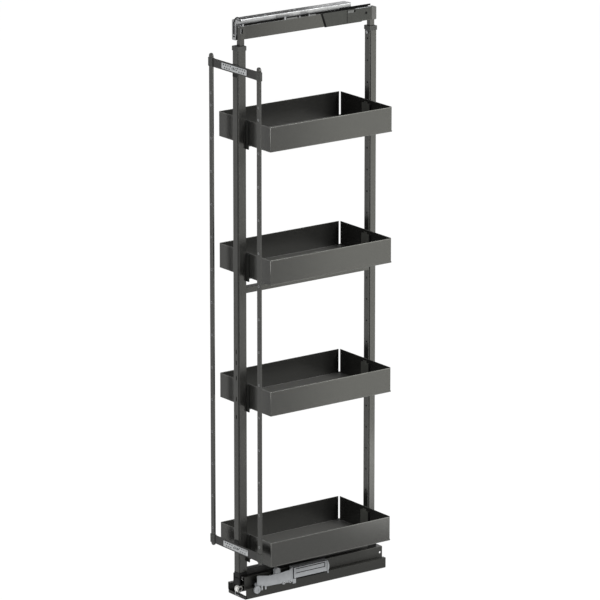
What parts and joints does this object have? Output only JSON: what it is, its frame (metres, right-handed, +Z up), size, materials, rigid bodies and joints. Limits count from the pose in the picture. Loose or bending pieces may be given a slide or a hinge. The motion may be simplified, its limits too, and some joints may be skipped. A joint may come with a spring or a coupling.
{
  "type": "pull out pantry frame",
  "caption": "Pull-out pantry frame with hanging baskets between two posts on a full-extension floor runner with soft close, a height-adjustable top slide and bars that carry a door",
  "frame": {"origin": "centre of the base channel's underside", "axes": "+X is the width, to the right seen from the front; the frame pulls out along -Y; +Z is up"},
  "size_m": [0.2502, 0.5075, 1.687],
  "materials": {
    "paint": "satin anthracite metallic paint",
    "paint_dark": "satin dark anthracite paint",
    "steel": "zinc-plated steel, fine brushed grain",
    "slide_steel": "bright zinc-plated sheet, cold-rolled grain along the slide",
    "grey_plastic": "light grey moulded plastic, fine spark texture",
    "black_plastic": "black moulded plastic, fine texture",
    "dark_plastic": "dark grey moulded plastic, fine texture",
    "white_plastic": "pale acetal, smooth and slightly waxy",
    "rubber": "black rubber, matt"
  },
  "bodies": {
    "base": {"base_channel": "paint_dark", "roller_bracket": "steel", "front_axle": "steel", "rear_buffer": "rubber", "damper_bracket": "grey_plastic", "damper_housing": "grey_plastic", "damper_cover": "grey_plastic", "damper_end_cap": "grey_plastic", "damper_cylinder": "black_plastic", "closing_spring": "steel", "locking_screw": "grey_plastic", "damper_screws": "steel"},
    "roller": {"front_roller": "white_plastic"},
    "catch_unit": {"catch": "grey_plastic", "piston_rod": "steel"},
    "middle": {"middle_rail": "paint_dark", "stub_axles": "steel", "support_axle": "steel"},
    "rear_wheel_pair": {"rear_wheels": "white_plastic"},
    "carrying_wheel": {"support_wheel": "white_plastic"},
    "frame": {"carriage": "paint_dark", "truck_bracket": "black_plastic", "truck_axle": "steel", "activator_pin": "steel", "front_foot": "black_plastic", "rear_foot": "black_plastic", "foot_screws": "steel", "front_post": "paint", "rear_post": "paint", "bottom_rail": "paint_dark", "middle_brace": "paint", "front_collar": "dark_plastic", "rear_collar": "dark_plastic", "lock_screws": "steel", "front_hangers": "paint_dark", "rear_hangers": "paint_dark", "post_clamps": "black_plastic", "carrier_screws": "steel"},
    "truck": {"truck_wheels": "white_plastic"},
    "basket_a": {"basket_1": "paint"},
    "basket_b": {"basket_2": "paint"},
    "basket_c": {"basket_3": "paint"},
    "basket_d": {"basket_4": "paint"},
    "door_carrier": {"left_bar": "paint", "right_bar": "paint", "bar_clips": "dark_plastic", "upper_bracket": "paint_dark", "lower_bracket": "paint_dark", "upper_plate": "steel", "lower_plate": "steel"},
    "top": {"front_tube": "paint", "rear_tube": "paint", "top_rail": "paint", "rail_cover": "dark_plastic", "rear_block": "grey_plastic", "rail_screws": "steel", "slide_inner": "slide_steel"},
    "top_slide_middle": {"slide_middle": "slide_steel"},
    "top_slide_outer": {"slide_outer": "slide_steel"},
    "cages": {"ball_cages": "slide_steel"}
  },
  "joints": [
    {"name": "frame_slide", "type": "slide", "parent": "base", "child": "frame", "axis": [0, -1, 0], "range_m": [0, 0.45]},
    {"name": "middle_slide", "type": "slide", "parent": "base", "child": "middle", "axis": [0, -1, 0], "range_m": [0, 0.225]},
    {"name": "catch_slide", "type": "slide", "parent": "base", "child": "catch_unit", "axis": [0, -1, 0], "range_m": [0, 0.045]},
    {"name": "front_roller_spin", "type": "hinge", "parent": "base", "child": "roller", "pos_m": [0, -0.245, 0.022], "axis": [1, 0, 0], "range_deg": [0, 1290]},
    {"name": "rear_wheel_spin", "type": "hinge", "parent": "middle", "child": "rear_wheel_pair", "pos_m": [0, 0.2, 0.0153], "axis": [1, 0, 0], "range_deg": [0, 992]},
    {"name": "carrying_wheel_spin", "type": "hinge", "parent": "middle", "child": "carrying_wheel", "pos_m": [0, -0.225, 0.0512], "axis": [1, 0, 0], "range_deg": [0, 1358]},
    {"name": "truck_wheel_spin", "type": "hinge", "parent": "frame", "child": "truck", "pos_m": [0, 0.21, 0.044], "axis": [1, 0, 0], "range_deg": [0, 1372]},
    {"name": "top_height", "type": "slide", "parent": "frame", "child": "top", "axis": [0, 0, 1], "range_m": [-0.012, 0.15]},
    {"name": "slide_middle_move", "type": "slide", "parent": "top", "child": "top_slide_middle", "axis": [0, 1, 0], "range_m": [0, 0.225]},
    {"name": "slide_outer_move", "type": "slide", "parent": "top", "child": "top_slide_outer", "axis": [0, 1, 0], "range_m": [0, 0.45]},
    {"name": "cage_move", "type": "slide", "parent": "top", "child": "cages", "axis": [0, 1, 0], "range_m": [0, 0.3376]},
    {"name": "door_shift", "type": "slide", "parent": "frame", "child": "door_carrier", "axis": [1, 0, 0], "range_m": [-0.005, 0.005]},
    {"name": "basket_a_lift", "type": "slide", "parent": "frame", "child": "basket_a", "axis": [0, 0, 1], "range_m": [0, 0.03]},
    {"name": "basket_b_lift", "type": "slide", "parent": "frame", "child": "basket_b", "axis": [0, 0, 1], "range_m": [0, 0.03]},
    {"name": "basket_c_lift", "type": "slide", "parent": "frame", "child": "basket_c", "axis": [0, 0, 1], "range_m": [0, 0.03]},
    {"name": "basket_d_lift", "type": "slide", "parent": "frame", "child": "basket_d", "axis": [0, 0, 1], "range_m": [0, 0.03]}
  ],
  "couplings": [
    {"joint": "middle_slide", "follows": "frame_slide", "ratio": 0.5},
    {"joint": "catch_slide", "follows": "frame_slide", "ratio": 0.1},
    {"joint": "front_roller_spin", "follows": "frame_slide", "rad_per_m": 50},
    {"joint": "rear_wheel_spin", "follows": "frame_slide", "rad_per_m": 38.462},
    {"joint": "carrying_wheel_spin", "follows": "frame_slide", "rad_per_m": 52.632},
    {"joint": "truck_wheel_spin", "follows": "frame_slide", "rad_per_m": 53.191},
    {"joint": "slide_middle_move", "follows": "frame_slide", "ratio": 0.5},
    {"joint": "slide_outer_move", "follows": "frame_slide", "ratio": 1},
    {"joint": "cage_move", "follows": "frame_slide", "ratio": 0.75}
  ]
}
